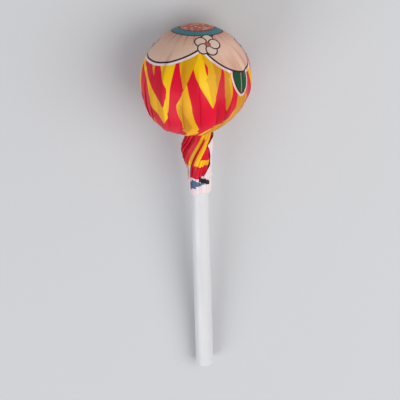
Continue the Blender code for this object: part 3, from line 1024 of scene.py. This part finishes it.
class LOLLIPOP_OT_stick(Operator):
    """Make the hollow plastic stick"""

    bl_idname = "lollipop.stick"
    bl_label = "Stick"

    def execute(self, context):
        stick = context.scene.lollipop_stick
        matrix = laid_down(context.scene.lollipop_film, stick)
        top = -STICK_PAST_CENTRE
        bottom = stick.length - STICK_PAST_CENTRE
        outside = stick.radius - STICK_END_ROUND
        inside = stick.bore + STICK_END_ROUND
        outline = [
            *eased_corner(outside, top + STICK_END_ROUND, 0.0),
            *[(stick.radius, top + (bottom - top) * share) for share in (0.25, 0.5, 0.75)],
            *eased_corner(outside, bottom - STICK_END_ROUND, math.pi / 2),
            *eased_corner(inside, bottom - STICK_END_ROUND, math.pi),
            (stick.bore, (top + bottom) / 2),
            (stick.bore, top + STICK_END_ROUND),
            (inside, top),
        ]
        mesh = tube_skin("stick_tube", outline)
        mesh.transform(matrix)
        material = stick_material(stick.colour, matrix.to_euler().x + math.pi / 2)
        add_piece("stick_tube", mesh, material, "stick")
        return {"FINISHED"}


def area_light(name, power, place, size, tint):
    light = bpy.data.lights.new(name, "AREA")
    light.shape = "DISK"
    light.size = size
    light.energy = power
    light.color = tint
    lamp = place_object(name, light)
    lamp.location = place
    lamp.rotation_euler = (Vector(LIGHT_AIM) - Vector(place)).to_track_quat("-Z", "Y").to_euler()


class LOLLIPOP_OT_stage(Operator):
    """Make the floor, the lights and the camera"""

    bl_idname = "lollipop.stage"
    bl_label = "Stage"

    def execute(self, context):
        scene = context.scene
        self.lay_floor(scene.lollipop_stage)
        self.light(scene, scene.lollipop_stage)
        self.aim_camera(scene, scene.lollipop_stage, laid_down(scene.lollipop_film, scene.lollipop_stick))
        return {"FINISHED"}

    def lay_floor(self, stage):
        corners = [(x * FLOOR_HALF, y * FLOOR_HALF, 0.0) for x, y in ((-1, -1), (1, -1), (1, 1), (-1, 1))]
        mesh = new_mesh("floor", corners, [(0, 1, 2, 3)])
        material, wires, shader = plain_material("floor_card")
        grain = wires.noise(wires.node("ShaderNodeTexCoord").outputs["Object"], FLOOR_GRAIN, detail=3.0)
        tone = wires.remap(grain, *FLOOR_TINT_GROWTH)
        wires.feed(shader["Base Color"], wires.mix(tone, tuple(stage.floor), FLOOR_TINT))
        wires.feed(shader["Roughness"], 0.7)
        mesh.materials.append(material)
        floor = place_object("floor", mesh)
        floor.location.z = -FLOOR_DROP

    def light(self, scene, stage):
        world = bpy.data.worlds.new("pale_surround")
        world.use_nodes = True
        ground = world.node_tree.nodes["Background"].inputs
        ground["Color"].default_value = SKY_TINT
        ground["Strength"].default_value = stage.sky
        scene.world = world
        area_light("key", stage.key_power, *KEY_LIGHT)
        area_light("fill", stage.fill_power, *FILL_LIGHT)

    def aim_camera(self, scene, stage, matrix):
        rise = stage.camera_elevation
        turn = matrix.to_3x3()
        back = turn @ Vector((0.0, -math.cos(rise), math.sin(rise)))
        up = turn @ Vector((0.0, math.sin(rise), math.cos(rise)))
        up = Matrix.Rotation(-stage.lean, 3, back) @ up
        data = bpy.data.cameras.new("camera")
        data.sensor_width = 36.0
        data.lens = data.sensor_width * stage.camera_distance / stage.frame_height
        data.clip_start = 0.01
        data.clip_end = 10.0
        camera = place_object("camera", data)
        place = Matrix((up.cross(back), up, back)).transposed().to_4x4()
        place.translation = matrix @ Vector((0.0, 0.0, -stage.aim_depth)) + back * stage.camera_distance
        camera.matrix_world = place
        scene.camera = camera


class LOLLIPOP_PT_sidebar(Panel):
    """Sizes and colours of the lollipop, and the buttons that make it"""

    bl_label = "Wrapped lollipop"
    bl_idname = "LOLLIPOP_PT_sidebar"
    bl_space_type = "VIEW_3D"
    bl_region_type = "UI"
    bl_category = "Lollipop"

    def draw(self, context):
        for maker, settings in MAKERS:
            box = self.layout.box()
            box.operator(maker.bl_idname)
            for group in settings:
                chosen = getattr(context.scene, group)
                for name in chosen.__annotations__:
                    box.prop(chosen, name)


SETTINGS = {
    "lollipop_film": LollipopFilm,
    "lollipop_print": LollipopPrint,
    "lollipop_stick": LollipopStick,
    "lollipop_stage": LollipopStage,
}
MAKERS = (
    (LOLLIPOP_OT_wrapper, ("lollipop_film", "lollipop_print")),
    (LOLLIPOP_OT_flap, ("lollipop_film",)),
    (LOLLIPOP_OT_stick, ("lollipop_stick",)),
    (LOLLIPOP_OT_stage, ("lollipop_stage",)),
)
CLASSES = (*SETTINGS.values(), *(maker for maker, _ in MAKERS), LOLLIPOP_PT_sidebar)


def register():
    for made in CLASSES:
        bpy.utils.register_class(made)
    for name, group in SETTINGS.items():
        setattr(bpy.types.Scene, name, PointerProperty(type=group))


def unregister():
    for name in SETTINGS:
        delattr(bpy.types.Scene, name)
    for made in reversed(CLASSES):
        bpy.utils.unregister_class(made)


def main():
    register()
    bpy.ops.lollipop.wrapper()
    bpy.ops.lollipop.flap()
    bpy.ops.lollipop.stick()
    bpy.ops.lollipop.stage()
    bpy.context.scene.view_settings.view_transform = "Standard"


if __name__ == "__main__":
    main()
